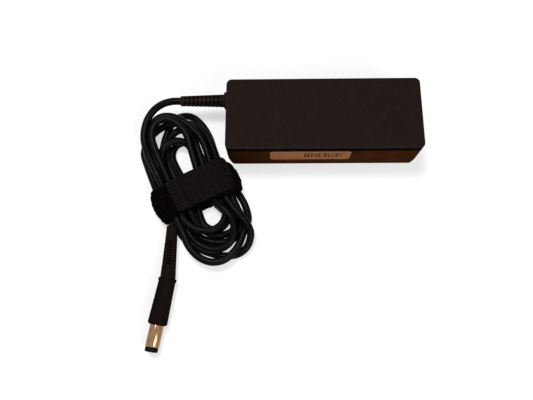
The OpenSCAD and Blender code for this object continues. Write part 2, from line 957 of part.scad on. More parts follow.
top_cover();
bottom_case();
side_label();
base_label();
inlet_housing();
inlet_pins();
circuit_board();
lower_heat_spreader();
upper_heat_spreader();
insulating_sheet();
fuse();
varistor();
inrush_thermistor();
filter_capacitor();
choke_core();
choke_windings();
bridge_rectifier();
bulk_capacitor();
primary_heatsink();
power_transistor();
transistor_screw();
transformer_core_front();
transformer_core_rear();
transformer_bobbin();
transformer_winding();
safety_capacitor();
optocoupler();
control_chip();
output_rectifier();
secondary_heatsink();
output_capacitors();
output_choke();
output_conductors();
strain_relief();
cord_in_relief();
dc_cord_lead();
dc_cord_hank();
dc_cord_tail();
strap_loop_band();
strap_stitched_end();
strap_stitching();
strap_flap();
strap_hook_patch();
plug_boot();
cord_in_plug();
plug_grip();
plug_core();
plug_barrel();
plug_insulator();
plug_inner_sleeve();
plug_centre_pin();
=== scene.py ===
import json
import math

import bmesh
import bpy
import numpy as np
from mathutils import Matrix, Vector


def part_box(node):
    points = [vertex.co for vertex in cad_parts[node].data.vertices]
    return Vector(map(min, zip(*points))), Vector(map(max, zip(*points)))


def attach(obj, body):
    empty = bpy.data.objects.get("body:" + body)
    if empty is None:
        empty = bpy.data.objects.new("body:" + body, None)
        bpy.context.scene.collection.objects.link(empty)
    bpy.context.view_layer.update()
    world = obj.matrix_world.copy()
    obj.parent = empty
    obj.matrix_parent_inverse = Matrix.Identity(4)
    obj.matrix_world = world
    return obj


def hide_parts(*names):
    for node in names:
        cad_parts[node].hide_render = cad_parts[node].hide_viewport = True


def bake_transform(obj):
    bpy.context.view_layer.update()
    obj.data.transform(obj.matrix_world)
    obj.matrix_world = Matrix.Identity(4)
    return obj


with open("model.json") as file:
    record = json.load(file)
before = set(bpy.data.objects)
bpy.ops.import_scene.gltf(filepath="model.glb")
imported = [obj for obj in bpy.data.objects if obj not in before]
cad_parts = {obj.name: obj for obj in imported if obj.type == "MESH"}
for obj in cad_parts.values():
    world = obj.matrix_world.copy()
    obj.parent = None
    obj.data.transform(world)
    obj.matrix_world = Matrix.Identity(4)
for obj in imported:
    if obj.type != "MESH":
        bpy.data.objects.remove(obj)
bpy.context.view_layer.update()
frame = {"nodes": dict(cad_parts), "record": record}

# Every size below is in millimetres, in the frame of the CAD model, and MM turns it into metres.
MM = 0.001

# Height of the lid's top
LID_TOP = 28.5
# Diameter of the cord
CORD_D = 4.2
# Where the strain relief lets the cord go, where the plug's boot takes it up and where the grip starts
RELIEF_AT = (-80.5, 14, 15)
BOOT_AT = (-83.6, -57.2, 5.3)
GRIP_AT = (-84.6, -86, 5.3)
BOOT_WAY = (Vector(GRIP_AT) - Vector(BOOT_AT)).normalized()
# Direction on the table in which the grip and the barrel point, in degrees
PLUG_TURN = -100
PLUG_WAY = (math.cos(math.radians(PLUG_TURN)), math.sin(math.radians(PLUG_TURN)), 0)
# Direction in which the strain relief runs from its cord end to the case
CASE_WAY = (1, 0, 0)
# Distance of the barrel's end from the grip's start, and how far the black ring there reaches further
# back than in the CAD model
BARREL_END = 37.6
RING_BACK = 1.2
# Between which distances from the grip's start the barrel's rim and the ring's back lie
BARREL_RIM = (BARREL_END - 0.7, BARREL_END + 0.1)
RING_REAR = (BARREL_END - 0.3, BARREL_END + 0.4)

# ---------------------------------------- camera

# The camera looks down on the adapter from above its front side
CAMERA_AT = (-24.8, -114.4, 271.6)
CAMERA_RIGHT = (0.9997, 0.0027, -0.0235)
CAMERA_UP = (0.0035, 0.9654, 0.2609)
SENSOR_W = 36
LENS = 33.14


def make_camera():
    """Camera at the photograph's place and angle."""
    data = bpy.data.cameras.new("camera")
    data.sensor_width = SENSOR_W
    data.lens = LENS
    data.clip_start = 0.01
    camera = bpy.data.objects.new("camera", data)
    right = Vector(CAMERA_RIGHT).normalized()
    back = right.cross(Vector(CAMERA_UP)).normalized()
    turn = Matrix((right, back.cross(right), back)).transposed()
    camera.matrix_world = Matrix.Translation(Vector(CAMERA_AT) * MM) @ turn.to_4x4()
    bpy.context.scene.collection.objects.link(camera)
    bpy.context.scene.camera = camera


# ---------------------------------------- surfaces


def linear(colour):
    """Linear value of a colour given as three sRGB numbers from 0 to 255."""
    return [(c / 255 / 12.92) if c <= 10 else ((c / 255 + 0.055) / 1.055) ** 2.4 for c in colour] + [1]


class Surface:
    """A material whose colour, roughness and relief come from procedural nodes."""

    def __init__(self, name, rough, specular, **sockets):
        self.material = bpy.data.materials.new(name)
        self.material.use_nodes = True
        self.tree = self.material.node_tree
        self.shader = self.tree.nodes["Principled BSDF"]
        self.shader.inputs["Roughness"].default_value = rough
        self.shader.inputs["Specular IOR Level"].default_value = specular
        for socket, value in sockets.items():
            self.shader.inputs[socket.replace("_", " ")].default_value = value
        self.place = self.node("ShaderNodeTexCoord").outputs["Object"]

    def node(self, kind, **values):
        """A new node with some of its settings."""
        made = self.tree.nodes.new(kind)
        for key, value in values.items():
            setattr(made, key, value)
        return made

    def link(self, output, socket):
        self.tree.links.new(output, socket)

    def stretched(self, stretch, turn=0.0):
        """The object's coordinates, turned about Z, in units of stretch millimetres along each axis."""
        mapping = self.node("ShaderNodeMapping")
        self.link(self.place, mapping.inputs["Vector"])
        mapping.inputs["Rotation"].default_value = (0, 0, turn)
        mapping.inputs["Scale"].default_value = [1 / (MM * s) for s in stretch]
        return mapping.outputs["Vector"]

    def noise(self, size, detail, stretch=(1, 1, 1)):
        """Noise whose patches are about size millimetres wide."""
        made = self.node("ShaderNodeTexNoise")
        self.link(self.stretched([size * s for s in stretch]), made.inputs["Vector"])
        made.inputs["Scale"].default_value = 1
        made.inputs["Detail"].default_value = detail
        return made.outputs["Fac"]

    def cells(self, place, randomness=1.0):
        """Distance from the nearest of many points, one in each unit of the place given."""
        made = self.node("ShaderNodeTexVoronoi")
        self.link(place, made.inputs["Vector"])
        made.inputs["Scale"].default_value = 1
        made.inputs["Randomness"].default_value = randomness
        return made.outputs["Distance"]

    def axes(self):
        """The object's coordinates one by one, in metres."""
        made = self.node("ShaderNodeSeparateXYZ")
        self.link(self.place, made.inputs["Vector"])
        return made.outputs

    def spread(self, value, low, high, to_low=0.0, to_high=1.0):
        """The value, turned from its range low to high into the range to_low to to_high."""
        made = self.node("ShaderNodeMapRange")
        self.link(value, made.inputs["Value"])
        for socket, number in zip(("From Min", "From Max", "To Min", "To Max"), (low, high, to_low, to_high)):
            made.inputs[socket].default_value = number
        return made.outputs["Result"]

    def patches(self, size, detail, to_low=0.0, to_high=1.0):
        """Soft patches about size millimetres wide, between to_low and to_high."""
        return self.spread(self.noise(size, detail), 0.3, 0.7, to_low, to_high)

    def maths(self, operation, a, b):
        """Result of one step of arithmetic on numbers or outputs."""
        made = self.node("ShaderNodeMath", operation=operation)
        for socket, value in zip(made.inputs, (a, b)):
            if isinstance(value, (int, float)):
                socket.default_value = value
            else:
                self.link(value, socket)
        return made.outputs["Value"]

    def mixed(self, share, colour_a, colour_b):
        """Colour a where share is 0, colour b where it is 1. A colour is three sRGB numbers or an output."""
        made = self.node("ShaderNodeMix", data_type="RGBA")
        self.link(share, made.inputs["Factor"])
        for socket, value in zip((made.inputs[6], made.inputs[7]), (colour_a, colour_b)):
            if isinstance(value, (tuple, list)):
                socket.default_value = linear(value)
            else:
                self.link(value, socket)
        return made.outputs[2]

    def vectors(self, operation, *values, result="Vector"):
        """Result of one step of arithmetic on vectors or outputs."""
        made = self.node("ShaderNodeVectorMath", operation=operation)
        for socket, value in zip(made.inputs, values):
            if isinstance(value, (tuple, list, Vector)):
                socket.default_value = value
            else:
                self.link(value, socket)
        return made.outputs[result]

    def sunk(self, start, along, radius, widening):
        """Millimetres below the skin of a round body that starts at start and widens along its axis."""
        offset = self.vectors("SUBTRACT", self.place, Vector(start) * MM)
        far = self.vectors("DOT_PRODUCT", offset, along, result="Value")
        axis = self.node("ShaderNodeVectorMath", operation="SCALE")
        axis.inputs["Vector"].default_value = along
        self.link(far, axis.inputs["Scale"])
        aside = self.vectors("SUBTRACT", offset, axis.outputs["Vector"])
        away = self.vectors("LENGTH", aside, result="Value")
        skin = self.maths("ADD", self.maths("MULTIPLY", far, widening), radius * MM)
        return self.maths("MULTIPLY", self.maths("SUBTRACT", skin, away), 1 / MM)

    def colour(self, output):
        """Gives the surface its colour."""
        self.link(output, self.shader.inputs["Base Color"])

    def toned(self, share, colour):
        """Turns the surface's colour into another one where share is 1."""
        so_far = self.shader.inputs["Base Color"].links[0].from_socket
        self.colour(self.mixed(share, so_far, colour))

    def roughness(self, output):
        """Gives the surface its roughness."""
        self.link(output, self.shader.inputs["Roughness"])

    def relief(self, height, depth):
        """Relief that follows height, depth millimetres deep. A second call lies on the first."""
        made = self.node("ShaderNodeBump")
        made.inputs["Distance"].default_value = depth * MM
        self.link(height, made.inputs["Height"])
        normal = self.shader.inputs["Normal"]
        if normal.is_linked:
            self.link(normal.links[0].from_socket, made.inputs["Normal"])
        self.link(made.outputs["Normal"], normal)


def moulded(name, colour, rough, specular, grain, depth, specks=0.0, uneven=1.0):
    """Moulded plastic or rubber with a fine grain, slight unevenness and, if asked, tiny pale specks."""
    made = Surface(name, rough, specular)
    dark = [(1 - 0.14 * uneven) * c for c in colour]
    light = [min((1 + 0.12 * uneven) * c, 255) for c in colour]
    made.colour(made.mixed(made.patches(14, 3), dark, light))
    if specks:
        speck_every, speck_lift = 0.9, 60
        dots = made.spread(made.cells(made.stretched([speck_every] * 3)), 0.11, 0.06)
        made.toned(made.maths("MULTIPLY", dots, specks), [min(c + speck_lift, 255) for c in colour])
    made.roughness(made.patches(5, 2, rough - 0.05, rough + 0.05))
    made.relief(made.noise(grain, 2), depth)
    return made


def lid_finish():
    """Lid plastic: its top is grained, with a painted highlight along its upper edge and painted shade on its
    rim.
    """
    highlight_below, shaded_rim_from, shaded_rim_to = 0.1, 0.2, 0.4
    made = moulded("lid_plastic", (24, 17, 14), 0.62, 0.015, 0.35, 0.14, specks=0.8, uneven=0.4)
    height = made.axes()["Z"]
    # Painted highlight along the lid's upper edge
    made.toned(made.spread(height, LID_TOP * MM, (LID_TOP - highlight_below) * MM), (46, 38, 34))
    made.toned(made.spread(made.noise(0.7, 2), 0.4, 0.62), (31, 23, 20))
    # Painted shade on the lid's rim
    made.toned(made.spread(height, (LID_TOP - shaded_rim_from) * MM, (LID_TOP - shaded_rim_to) * MM), (2, 1, 1))
    return made.material


def case_finish():
    """Gloss black case plastic painted brown as a reflection of a wooden table, with painted shade close
    under the lid and towards the cord's end.
    """
    shaded_end_from, shaded_end_to = -24, -46
    lid_shade_from, lid_shade_to = 23.4, 25.2
    # The brown is painted reflection of a wooden table; the plastic itself is black
    made = moulded("case_plastic", (62, 35, 18), 0.3, 0, 1.2, 0.01)
    place = made.axes()
    # Painted shade towards the cord's end
    made.toned(made.spread(place["X"], shaded_end_from * MM, shaded_end_to * MM, 0, 0.5), (30, 17, 9))
    # Painted shade close under the lid's overhang
    made.toned(made.spread(place["Z"], lid_shade_from * MM, lid_shade_to * MM), (6, 3, 2))
    return made.material


def boot_rubber(name, colour, start, along, radius, widening):
    """Rubber of a slotted boot, with painted shade down in its slots. Widening is the skin's rise per
    millimetre.
    """
    made = moulded(name, colour, 0.6, 0.01, 0.4, 0.04)
    # Painted shade in the slots, darkest at their floor
    made.toned(made.spread(made.sunk(start, along, radius, widening), 0.15, 0.5), (3, 2, 2))
    return made.material


def metal(name, colour, rough, brushed=(1, 1, 1)):
    """Metal with fine marks along the direction in which brushed is longest."""
    made = Surface(name, rough, 0.5, Metallic=1.0)
    dark = [0.78 * c for c in colour]
    light = [min(1.14 * c, 255) for c in colour]
    marks = made.noise(0.4, 3, brushed)
    made.colour(made.mixed(made.spread(marks, 0.3, 0.7), dark, light))
    made.roughness(made.spread(marks, 0.2, 0.8, rough - 0.06, rough + 0.08))
    made.relief(marks, 0.01)
    return made.material


# ---------------------------------------- meshes


def piece(name, vertices, faces, material, smooth_below=40):
    """A piece from points in millimetres. Edges flatter than smooth_below degrees are shaded smooth."""
    mesh = bpy.data.meshes.new(name)
    mesh.from_pydata([Vector(v) * MM for v in vertices], [], faces)
    return finished(name, mesh, material, smooth_below)


def finished(name, mesh, material, smooth_below):
    """A linked object from a mesh, with its faces turned outwards and its material on."""
    work = bmesh.new()
    work.from_mesh(mesh)
    bmesh.ops.recalc_face_normals(work, faces=work.faces)
    work.to_mesh(mesh)
    work.free()
    mesh.materials.clear()
    mesh.materials.append(material)
    mesh.shade_smooth()
    mesh.set_sharp_from_angle(angle=math.radians(smooth_below))
    made = bpy.data.objects.new(name, mesh)
    bpy.context.scene.collection.objects.link(made)
    return made


def rounded_copy(name, node, material, edge):
    """The node's own form with its sharp edges rounded, as moulding or turning leaves them."""
    merge = 1e-6
    flat_below = 1
    sharp_above = 35
    smooth_below = 40
    work = bmesh.new()
    work.from_mesh(frame["nodes"][node].data)
    bmesh.ops.remove_doubles(work, verts=work.verts, dist=merge)
    bmesh.ops.dissolve_limit(work, angle_limit=math.radians(flat_below), verts=work.verts, edges=work.edges)
    mesh = bpy.data.meshes.new(name)
    work.to_mesh(mesh)
    work.free()
    made = finished(name, mesh, material, smooth_below)
    bevel = made.modifiers.new("edges", "BEVEL")
    bevel.width = edge * MM
    bevel.segments = 3
    bevel.limit_method = "ANGLE"
    bevel.angle_limit = math.radians(sharp_above)
    bevel.use_clamp_overlap = True
    bevel.miter_outer = "MITER_ARC"
    apply_modifiers(made)
    made.data.shade_smooth()
    made.data.set_sharp_from_angle(angle=math.radians(smooth_below))
    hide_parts(node)
    return made


def slid(obj, start, along, low, high, shift):
    """Moves the points that lie between two distances from start along an axis."""
    along = Vector(along)
    for vertex in obj.data.vertices:
        if low * MM < (vertex.co - Vector(start) * MM).dot(along) < high * MM:
            vertex.co += shift * MM * along


def apply_modifiers(obj):
    """Turns what the modifiers make into the object's own mesh."""
    graph = bpy.context.evaluated_depsgraph_get()
    graph.update()
    mesh = bpy.data.meshes.new_from_object(obj.evaluated_get(graph))
    mesh.name = obj.name
    obj.modifiers.clear()
    obj.data = mesh


def rings_to_tube(rings, closed_loop=False):
    """Vertices and faces of a skin through rings of equally many points, with closed ends or as a loop."""
    sides = len(rings[0])
    vertices = [p for ring in rings for p in ring]
    faces = []
    spans = len(rings) if closed_loop else len(rings) - 1
    for i in range(spans):
        low, high = i * sides, (i + 1) % len(rings) * sides
        for k in range(sides):
            n = (k + 1) % sides
            faces.append((low + k, low + n, high + n, high + k))
    if not closed_loop:
        faces.append(tuple(range(sides)))
        faces.append(tuple((len(rings) - 1) * sides + k for k in range(sides)))
    return vertices, faces


def rounded_outline(low, high, r, steps):
    """Outline of a rectangle with round corners, from the corner at high on."""
    left, right = low[0] + r, high[0] - r
    bottom, top = low[1] + r, high[1] - r
    outline = []
    for quarter, (x, y) in enumerate([(right, top), (left, top), (left, bottom), (right, bottom)]):
        for k in range(steps + 1):
            a = math.radians(90 * quarter + 90 * k / steps)
            outline.append((x + r * math.cos(a), y + r * math.sin(a)))
    return outline


def eased(x, start, end, at_start=0.0, at_end=1.0):
    """Smooth step from at_start, where x is at start or before it, to at_end, from end on."""
    share = min(max((x - start) / (end - start), 0), 1)
    return at_start + (at_end - at_start) * share * share * (3 - 2 * share)


# ---------------------------------------- cord: its route

# The hank's middle, its turn on the table in degrees and the strap's place along it
HANK_AT = (-70.3, -32.5)
HANK_TURN = 25.3
ACROSS_HANK = (math.cos(math.radians(HANK_TURN)), math.sin(math.radians(HANK_TURN)))
STRAP_U = -5

# Route of the cord from the strain relief to the hank
LEAD_ROUTE = [
    RELIEF_AT, (-85.5, 14, 14.9), (-91, 12.8, 14.2), (-96.3, 9.5, 13), (-99.9, 4.3, 11.6),
    (-101.4, -2, 10.3), (-101.2, -8.5, 9.1),
]
# Its first places in the hank and its last one before the plug's boot: along and across the hank, height
JOIN_ROUTE = [(25.2, -18.8, 9.6), (13.4, -18.6, 9.8), (STRAP_U, -18.8, 7.4)]
TAIL_ROUTE = [(-8, -21.6, 4)]
# How far into the plug's boot the route is steered
STEERED = 8

# Folds of the hank in the cord's own order, near ends and far ends by turns. Each row gives the
# fold's middle along and across the hank, its half width, its reach past the middle, its lean
# across the hank in degrees, its height where it starts, at its end and where it stops, and the
# place across the hank and the height at which the cord then passes through the strap.
FOLDS = [
    (-21.5, 0.3, 18.2, 25.5, 11, 8, 6.8, 2.3, 16.7, 3.2),
    (10, -1, 16.4, 34.6, -13, 2.3, 2.3, 2.3, -19, 3.2),
    (-22, -4.4, 16.4, 25.4, -20, 2.3, 2.3, 7.6, 10.4, 7.4),
    (20, -2.1, 14.2, 26, 5, 7, 8.2, 7, -14.9, 3.3),
    (-26, -3.3, 12, 14.2, -7, 3, 6.4, 8.5, 2.2, 7.4),
    (27.3, -4.2, 9.8, 14.8, 1, 10.8, 12.4, 11.6, -14.5, 7.4),
    (-16, -4.4, 11.7, 13.1, -10, 9, 7.5, 3.5, 6.1, 3.2),
    (20, -1.8, 10, 15.8, -13, 7.2, 4.5, 5.5, -10.4, 7.3),
    (-20, 0.8, 10.8, 15.5, -16, 5, 2.3, 2.3, 10.3, 3.2),
    (20, -0.6, 7.4, 8.2, 0, 2.3, 2.3, 2.3, -6.5, 3.2),
    (-21.5, 0.3, 7.6, 7.6, 0, 2.3, 2.3, 2.3, 2, 3.2),
    (20, -3.8, 9, 8.8, -3, 4.6, 7, 4.5, -10.7, 3.2),
    (-22.8, -0.6, 14.7, 14, -18, 2.6, 2.6, 4.5, 14.5, 6.7),
    (24.4, -3.1, 19.4, 16.5, 5, 5, 4.8, 2.3, -22.9, 3.2),
]


def on_hank(u, v, z):
    """Place of a point given along and across the hank."""
    c, s = ACROSS_HANK
    return (HANK_AT[0] - u * s + v * c, HANK_AT[1] + u * c + v * s, z)


def along_hank(points):
    """How far points are along the hank from its middle."""
    c, s = ACROSS_HANK
    return -(points[:, 0] - HANK_AT[0]) * s + (points[:, 1] - HANK_AT[1]) * c


# Steps in which the cord goes round a fold
FOLD_STEPS = 8


def fold_points(mid_u, mid_v, half_w, reach, lean, z_in, z_end, z_out):
    """Half an ellipse, leaning to one side, whose height follows a parabola."""
    end = math.copysign(1, mid_u)
    points = []
    for k in range(FOLD_STEPS + 1):
        share = k / FOLD_STEPS
        out = reach * math.sin(math.pi * share)
        u = mid_u + end * out * math.cos(math.radians(lean))
        v = mid_v + end * half_w * math.cos(math.pi * share) - out * math.sin(math.radians(lean))
        z = z_in * (1 - share) * (1 - 2 * share) + 4 * z_end * share * (1 - share)
        z += z_out * share * (2 * share - 1)
        points.append(on_hank(u, v, z))
    return points


def route_points():
    """Places that the cord is first laid through. The last one, inside the plug's boot, only steers it."""
    points = LEAD_ROUTE + [on_hank(*p) for p in JOIN_ROUTE]
    for *fold, strap_v, strap_z in FOLDS:
        points += fold_points(*fold)
        points.append(on_hank(STRAP_U, strap_v, strap_z))
    points += [on_hank(*p) for p in TAIL_ROUTE]
    points += [BOOT_AT, tuple(Vector(BOOT_AT) + STEERED * BOOT_WAY)]
    return np.array(points, float)


def evenly(points, step):
    """Points at an even step along a line of points."""
    at = np.concatenate([[0], np.cumsum(np.linalg.norm(np.diff(points, axis=0), axis=1))])
    count = max(round(at[-1] / step), 2)
    places = np.linspace(0, at[-1], count + 1)
    return np.stack([np.interp(places, at, points[:, k]) for k in range(3)], axis=1)


def between(a, b, at_a, at_b, t):
    """Point at t on the straight line through a at at_a and b at at_b."""
    return ((at_b - t) * a + (t - at_a) * b) / (at_b - at_a)


# Places worked out between two points of the curve before it is cut into even steps
CURVE_STEPS = 12


def smooth_line(points, step):
    """Centripetal Catmull-Rom curve through all the points but the last, at an even step."""
    p = np.vstack([2 * points[0] - points[1], points])
    line = []
    for i in range(1, len(p) - 2):
        four = p[i - 1:i + 3]
        k = np.concatenate([[0], np.cumsum(np.linalg.norm(np.diff(four, axis=0), axis=1) ** 0.5)])
        for t in np.linspace(k[1], k[2], CURVE_STEPS, endpoint=False):
            a = [between(four[n], four[n + 1], k[n], k[n + 1], t) for n in range(3)]
            b = [between(a[n], a[n + 1], k[n], k[n + 2], t) for n in range(2)]
            line.append(between(b[0], b[1], k[1], k[2], t))
    line.append(p[-2])
    return evenly(np.array(line), step)


def smooth_moves(moves, passes):
    """Moves of neighbouring points made alike, as a stiff cord passes them on."""
    for _ in range(passes):
        moves = np.vstack([moves[:1], 0.25 * moves[:-2] + 0.5 * moves[1:-1] + 0.25 * moves[2:], moves[-1:]])
    return moves


# Step along the laid cord and the rounds in which it comes to rest
LAID_STEP = 1.5
SETTLE_ROUNDS = 300
# Least distance between two strands' middles that the settling works towards
SPACING = CORD_D + 0.05
# Points along the cord that count as one strand and don't push each other
SAME_STRAND = 8
# Rounds from one search for close strands to the next, and how much further than SPACING it looks
SEARCH_EVERY = 6
SEARCH_BEYOND = 1.5


def close_strands(at, laid):
    """Pairs of points on strands close to each other, with 1 where the first was laid above, else -1."""
    index = np.arange(len(at))
    apart = np.linalg.norm(at[:, None, :2] - at[None, :, :2], axis=2)
    far = np.abs(index[:, None] - index[None]) > SAME_STRAND
    first, second = np.where(np.triu(far & (apart < SPACING + SEARCH_BEYOND)))
    return first, second, np.where(laid[first, 2] >= laid[second, 2], 1, -1)


def pushed_apart(at, first, second, over):
    """How far each point is pushed off the strands that it cuts into, more upwards than aside."""
    # How much more a push lifts than it moves aside, its greatest length and the share done in one round
    lift = 1.5
    longest = 2
    share = 0.8
    gap = at[first] - at[second]
    aside = np.hypot(gap[:, 0], gap[:, 1])
    rise = np.sqrt(np.maximum(SPACING ** 2 - aside ** 2, 0))
    height = over * gap[:, 2]
    touching = (height < rise) & (aside < SPACING)
    way = gap[touching]
    way[:, 2] = lift * over[touching] * np.maximum(rise[touching], np.abs(way[:, 2]))
    way /= np.linalg.norm(way, axis=1)[:, None]
    short = np.where(height > 0, SPACING - np.linalg.norm(gap, axis=1), rise - height)[touching]
    push = 0.5 * np.minimum(short, longest)[:, None] * way
    total = np.zeros_like(at)
    count = np.zeros(len(at))
    for points, pushes in ((first[touching], push), (second[touching], -push)):
        np.add.at(total, points, pushes)
        np.add.at(count, points, 1)
    return share * total / np.sqrt(np.maximum(count, 1))[:, None]


def settled(laid):
    """The laid cord after it has come to rest: strands lifted off each other, on the table, under the strap.

    A strand laid above another stays above it. One that rises or falls stays where it looked to be
    from above, on its line to the camera.
    """
    # Points held at each end, and those over which the cord comes free
    held_points = 3
    freed_over = 12
    # What a round does: share of the way to the camera's line and to the laid height, drop by weight,
    # and passes that smooth the moves
    sight_share = 0.03
    rest_share = 0.01
    weight = 0.004
    smoothing = 3
    above_floor = 0.02
    index = np.arange(len(laid))
    free = np.clip((np.minimum(index, index[::-1]) - held_points) / freed_over, 0, 1)[:, None]
    eye = np.array(CAMERA_AT)
    at = laid.copy()
    for done in range(SETTLE_ROUNDS):
        if done % SEARCH_EVERY == 0:
            first, second, over = close_strands(at, laid)
        seen = eye + (laid - eye) * ((eye[2] - at[:, 2]) / (eye[2] - laid[:, 2]))[:, None]
        moves = at - laid + pushed_apart(at, first, second, over)
        moves += (seen - at) * (sight_share, sight_share, 0)
        moves[:, 2] -= rest_share * (at[:, 2] - laid[:, 2]) + weight
        z = np.maximum(laid[:, 2] + moves[:, 2], CORD_D / 2)
        inside = np.abs(along_hank(at) - STRAP_U) < STRAP_W / 2
        z[inside] = np.clip(z[inside], BAND_T + CORD_D / 2, BAND_TOP - BAND_T - CORD_D / 2)
        moves[:, 2] = z - laid[:, 2]
        at = laid + smooth_moves(moves * free, smoothing)
    at[:, 2] = np.maximum(at[:, 2], CORD_D / 2 + above_floor)
    return at


def rings_along(line, radius, sides):
    """Rings square to a line, without twist."""
    tangents = np.gradient(line, axis=0)
    tangents /= np.linalg.norm(tangents, axis=1)[:, None]
    across = np.cross(tangents[0], (0, 0, 1.0))
    rings = []
    for point, along in zip(line, tangents):
        across = across - along * (across @ along)
        across /= np.linalg.norm(across)
        above = np.cross(across, along)
        angles = 2 * np.pi * np.arange(sides) / sides
        rings.append(point + radius * (np.cos(angles)[:, None] * across + np.sin(angles)[:, None] * above))
    return rings


# Step from ring to ring of the finished cord, and the sides of a ring
RING_STEP = 1.2
RING_SIDES = 14


def make_cord(material):
    """The output cord from the strain relief through the hank to the plug's boot, and its middle line."""
    line = evenly(settled(smooth_line(route_points(), LAID_STEP)), RING_STEP)
    vertices, faces = rings_to_tube(rings_along(line, CORD_D / 2, RING_SIDES))
    cord = piece("dc_cord", vertices, faces, material)
    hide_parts("dc_cord_lead", "dc_cord_hank", "dc_cord_tail")
    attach(cord, "root")
    return cord, line


# ---------------------------------------- slotted boots

# Bore of both boots, and the slots in a row and round a boot
BOOT_BORE_R = CORD_D / 2 + 0.05
SLOTS_IN_ROW = 9
SLOT_ROWS = 5
# Half the length of a slot's steep ends along the boot, and half of their width round it in degrees
SLOT_SIDE = 0.06
SLOT_END = 2
# Places worked out round a boot across a slot, and from there to the next slot
SLOT_PLACES = 6
RIDGE_PLACES = 3
# Edges of a boot that turn by less than this, in degrees, look smooth
BOOT_SMOOTH = 35

# Outline of each boot, as distance from its start and radius
RELIEF_PROFILE = [
    (0, 2.5), (0.3, 2.9), (25.1, 3.65), (25.15, 4.5), (25.7, 5), (27.4, 5), (27.5, 4.9), (27.51, 3.4),
    (29.55, 3.4), (29.56, 4.35), (31, 4.35),
]
PLUG_BOOT_PROFILE = [(0, 2.65), (0.3, 3.05), (7, 3.25), (13, 3.5), (20, 3.75), (27.6, 4.1), (30.3, 4.1)]
# Slots of each boot: the first one's middle, the step to the next, their width and their floor's radius
RELIEF_SLOTS = (3.1, 2.36, 1.2, 2.4)
PLUG_BOOT_SLOTS = (9.2, 1.53, 0.75, 2.5)
# Angle of the first row from the horizontal, and the angle that a slot spans
RELIEF_ROWS = (69, 46)
PLUG_BOOT_ROWS = (82, 44)


def slot_share(offset, width, soft):
    """1 inside a slot, 0 outside it, with steep sides."""
    return min(max((width / 2 - abs(offset)) / soft + 0.5, 0), 1)


def boot_ring(start, along, place, radii, angles):
    """One ring of a boot, from a radius for each angle."""
    above = np.array((0, 0, 1.0))
    across = np.cross(above, along)
    middle = np.array(start) + place * along
    ring = []
    for r, a in zip(radii, np.radians(angles)):
        ring.append(middle + r * (math.cos(a) * across + math.sin(a) * above))
    return ring


def make_boot(name, node, start, along, profile, slots, rows, material):
    """A turned rubber boot round the cord with rows of slots, each slot a pit in its skin."""
    along = np.array(along)
    first, pitch, width, floor_r = slots
    first_row, span = rows
    rows_at = [first_row + 360 / SLOT_ROWS * k for k in range(SLOT_ROWS)]
    middles = [first + pitch * k for k in range(SLOTS_IN_ROW)]
    places = {place for place, _ in profile}
    for middle in middles:
        for edge in (-width / 2, width / 2):
            places |= {middle + edge - SLOT_SIDE, middle + edge + SLOT_SIDE}
        places.add(middle)
    next_slot = 360 / SLOT_ROWS - span / 2
    angles = []
    for row in rows_at:
        angles += [row + a for a in np.linspace(-span / 2 + SLOT_END, span / 2 - SLOT_END, SLOT_PLACES)]
        angles += [row + a for a in np.linspace(span / 2 + SLOT_END, next_slot - SLOT_END, RIDGE_PLACES)]
    rings = []
    for place in sorted(places):
        radius = float(np.interp(place, [p for p, _ in profile], [r for _, r in profile]))
        down = max(slot_share(place - middle, width, 2 * SLOT_SIDE) for middle in middles)
        radii = []
        for angle in angles:
            in_row = max(slot_share((angle - row + 180) % 360 - 180, span, 2 * SLOT_END) for row in rows_at)
            radii.append(radius - down * in_row * max(radius - floor_r, 0))
        rings.append(boot_ring(start, along, place, radii, angles))
    for place in (profile[-1][0], profile[0][0]):
        rings.append(boot_ring(start, along, place, [BOOT_BORE_R] * len(angles), angles))
    vertices, faces = rings_to_tube(rings, closed_loop=True)
    boot = piece(name, vertices, faces, material, BOOT_SMOOTH)
    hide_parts(node)
    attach(boot, "root")
    return boot


# ---------------------------------------- strap

# The strap's middle, its turn on the table in degrees and its width
STRAP_AT = (-71.2, -38.6)
STRAP_TURN = 27
STRAP_WAY = (math.cos(math.radians(STRAP_TURN)), math.sin(math.radians(STRAP_TURN)), 0)
STRAP_W = 18.8
# The band's half length over the hank, its thickness, top and the radius of its turns
BAND_HALF = 23.3
BAND_T = 1
BAND_TOP = 11.3
BAND_CORNER = 3.5
# Along the strap: where the cloth is sewn down, its fold line and its free end
STITCHED_FROM = -13
STITCHED_TO = -7
FLAP_TO = 22.9
# The cloth's place across the strap, the height of its middle and its thickness
CLOTH_N = 2
CLOTH_Z = 12.4
CLOTH_T = 0.8
# Radii of the cloth's corners: at its sewn end, and at its free end on the near and on the far side
SEWN_CORNER = 1.8
NEAR_CORNER = 2.8
FAR_CORNER = 4.4
# How far the sewn stretch is pressed down, and how far past it the cloth comes up again
SEWN_DIP = 0.45
DIP_OVER = 3
# Rows of stitches, stitches in a row, the first row's distance from the cloth's end, the step to the
# next row, the rows' distance from the cloth's sides, and a stitch's length and height
STITCH_ROWS = 3
STITCHES = 9
FIRST_ROW = 1.4
ROW_STEP = 1.8
ROW_MARGIN = 1.1
STITCH_LENGTH = 0.8
STITCH_Z = 12.38
# Outline of a stitch: share of its length, and its half width there
STITCH_PROFILE = [(0, 0.04), (0.12, 0.18), (0.35, 0.24), (0.65, 0.24), (0.88, 0.18), (1, 0.04)]


def on_strap(s, n, z):
    """Place of a point given along the strap, across its width and by height."""
    co, si, _ = STRAP_WAY
    return (STRAP_AT[0] + s * co - n * si, STRAP_AT[1] + s * si + n * co, z)


def band_outline(step):
    """Closed outline of the band's mid thickness round the hank: place along the strap, height and 0."""
    half = BAND_HALF - BAND_T / 2
    low, high = BAND_T / 2, BAND_TOP - BAND_T / 2
    r = BAND_CORNER - BAND_T / 2
    points = [(s, z, 0) for s, z in rounded_outline((-half, low), (half, high), r, 8)]
    points.append(points[0])
    return evenly(np.array(points, float), step)[:-1]


